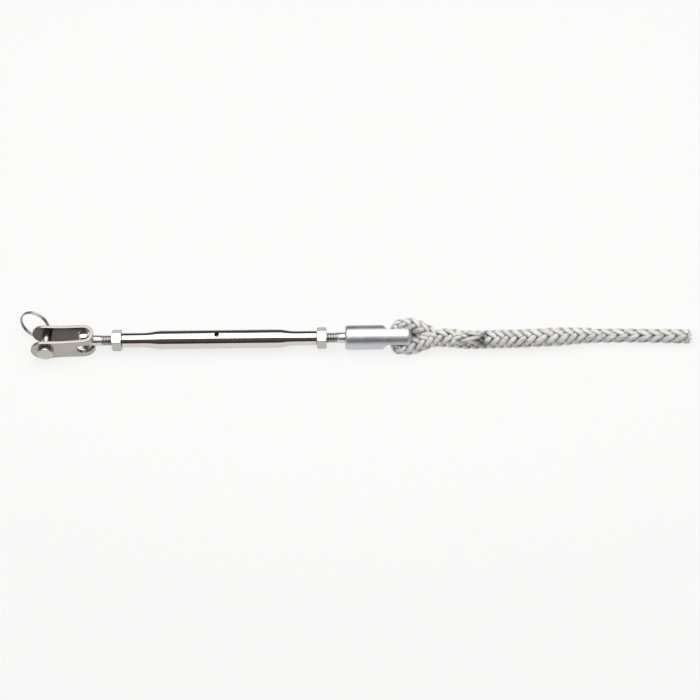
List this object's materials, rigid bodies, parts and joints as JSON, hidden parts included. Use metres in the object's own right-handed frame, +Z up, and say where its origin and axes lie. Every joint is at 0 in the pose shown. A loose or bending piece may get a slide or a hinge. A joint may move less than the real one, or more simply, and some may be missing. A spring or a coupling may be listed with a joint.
{
  "type": "shroud adjuster",
  "caption": "Closed-body shroud tensioner: slotted strap jaw with clevis pin and split ring, threaded barrel with locknuts, and a drilled terminal carrying an eye-spliced braided rope.",
  "frame": {"origin": "middle of the barrel's cross hole, on the screw's axis", "axes": "+X along the screw's axis from the jaw to the rope, +Z up as it lies on a level floor at z = -7.2 mm, +Y to the side away from the clevis pin's head"},
  "size_m": [0.3945, 0.0255, 0.0183],
  "materials": {
    "polished_steel": "polished stainless steel",
    "strap_steel": "tumbled stainless steel sheet",
    "ring_steel": "drawn stainless wire",
    "rope": "grey coated high-modulus braid"
  },
  "bodies": {
    "terminal_side": {"rope_terminal": "polished_steel", "terminal_stud": "polished_steel", "rope_eye": "rope", "rope_splice": "rope", "rope_line": "rope"},
    "locknuts": {"left_locknut": "polished_steel", "right_locknut": "polished_steel"},
    "barrel": {"barrel": "polished_steel"},
    "toggle_stud": {"toggle_stud": "polished_steel"},
    "jaw": {"toggle_jaw": "strap_steel"},
    "pin": {"clevis_pin": "polished_steel"},
    "ring": {"split_ring": "ring_steel"}
  },
  "joints": [
    {"name": "locknut_travel", "type": "slide", "parent": "terminal_side", "child": "locknuts", "axis": [-1, 0, 0], "range_m": [-0.00589, 0.03583]},
    {"name": "barrel_turn", "type": "hinge", "parent": "locknuts", "child": "barrel", "pos_m": [0, 0, 0], "axis": [1, 0, 0], "range_deg": [-2340, 14220]},
    {"name": "toggle_stud_travel", "type": "slide", "parent": "locknuts", "child": "toggle_stud", "axis": [-1, 0, 0], "range_m": [-0.0059, 0.03584]},
    {"name": "jaw_swivel", "type": "hinge", "parent": "toggle_stud", "child": "jaw", "pos_m": [-0.0779, 0, 0], "axis": [0, 0, 1], "range_deg": [-81.5, 78.5]},
    {"name": "pin_turn", "type": "hinge", "parent": "jaw", "child": "pin", "pos_m": [-0.10034, -0.00061, 0], "axis": [-0.027, 0.9996, 0], "continuous": true},
    {"name": "ring_swing", "type": "hinge", "parent": "pin", "child": "ring", "pos_m": [-0.10057, 0.00798, 0], "axis": [0.2906, 0.0079, 0.9568], "range_deg": [-150, 9]}
  ],
  "couplings": [
    {"joint": "barrel_turn", "follows": "locknut_travel", "rad_per_m": 6926.4},
    {"joint": "toggle_stud_travel", "follows": "locknut_travel", "ratio": 1}
  ]
}
